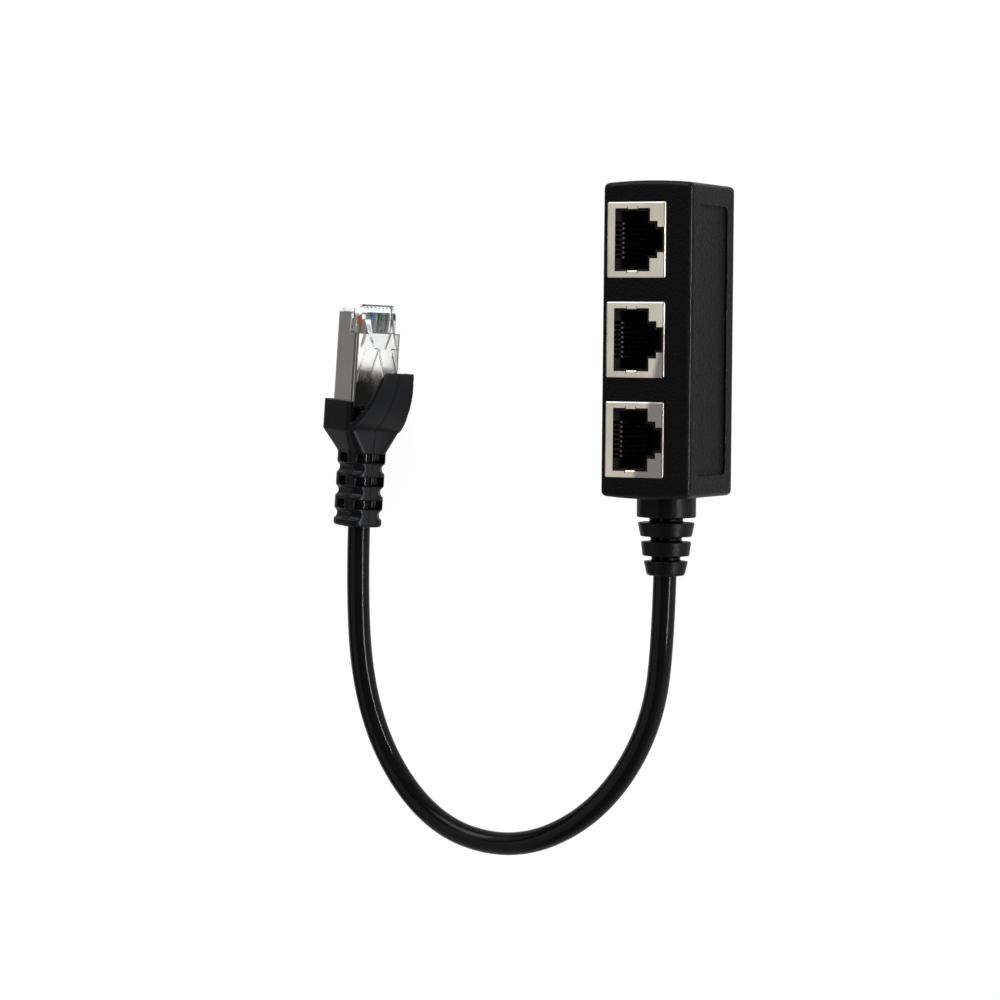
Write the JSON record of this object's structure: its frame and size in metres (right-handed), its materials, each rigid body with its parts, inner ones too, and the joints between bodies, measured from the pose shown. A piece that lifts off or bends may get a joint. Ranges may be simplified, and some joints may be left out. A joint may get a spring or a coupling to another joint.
{
  "type": "rj45 splitter adapter",
  "caption": "Short network splitter lead: a booted, shielded modular plug on a round cable into a slim moulded block with a column of shielded modular sockets.",
  "frame": {"origin": "centre of the moulded block's flat back face", "axes": "+X across the sockets towards their latch side, +Y along the block away from the cable, +Z out of the sockets"},
  "size_m": [0.0943, 0.147, 0.0237],
  "materials": {
    "housing_black": "fine matt moulded PVC, sharp corners slightly polished",
    "boot_black": "satin moulded PVC, slightly bluish",
    "cable_black": "smooth glossy PVC jacket",
    "shield_nickel": "warm nickel-plated stamped sheet, satin",
    "plug_nickel": "bright nickel-plated sheet",
    "insert_black": "black glass-filled moulding",
    "contact_gold": "gold-plated spring contacts",
    "board_green": "green solder mask",
    "clear_polycarbonate": "clear polycarbonate, polished",
    "load_bar_natural": "natural nylon",
    "lead_grey": "insulated conductors, mixed colours, hidden",
    "wire_white_orange": "white insulation with orange stripe",
    "wire_orange": "orange insulation",
    "wire_white_green": "white insulation with green stripe",
    "wire_blue": "blue insulation",
    "wire_white_blue": "white insulation with blue stripe",
    "wire_green": "green insulation",
    "wire_white_brown": "white insulation with brown stripe",
    "wire_brown": "brown insulation"
  },
  "bodies": {
    "root": {"housing": "housing_black", "circuit_board": "board_green", "board_wires": "lead_grey", "cable": "cable_black", "plug_body": "clear_polycarbonate", "plug_blades": "contact_gold", "plug_load_bar": "load_bar_natural", "plug_shield": "plug_nickel", "plug_boot": "boot_black", "socket_1_shield": "shield_nickel", "socket_1_insert": "insert_black", "socket_1_contact_block": "insert_black", "socket_1_contacts": "contact_gold", "socket_2_shield": "shield_nickel", "socket_2_insert": "insert_black", "socket_2_contact_block": "insert_black", "socket_2_contacts": "contact_gold", "socket_3_shield": "shield_nickel", "socket_3_insert": "insert_black", "socket_3_contact_block": "insert_black", "socket_3_contacts": "contact_gold", "plug_wire_1": "wire_white_orange", "plug_wire_2": "wire_orange", "plug_wire_3": "wire_white_green", "plug_wire_4": "wire_blue", "plug_wire_5": "wire_white_blue", "plug_wire_6": "wire_green", "plug_wire_7": "wire_white_brown", "plug_wire_8": "wire_brown"}
  },
  "joints": []
}
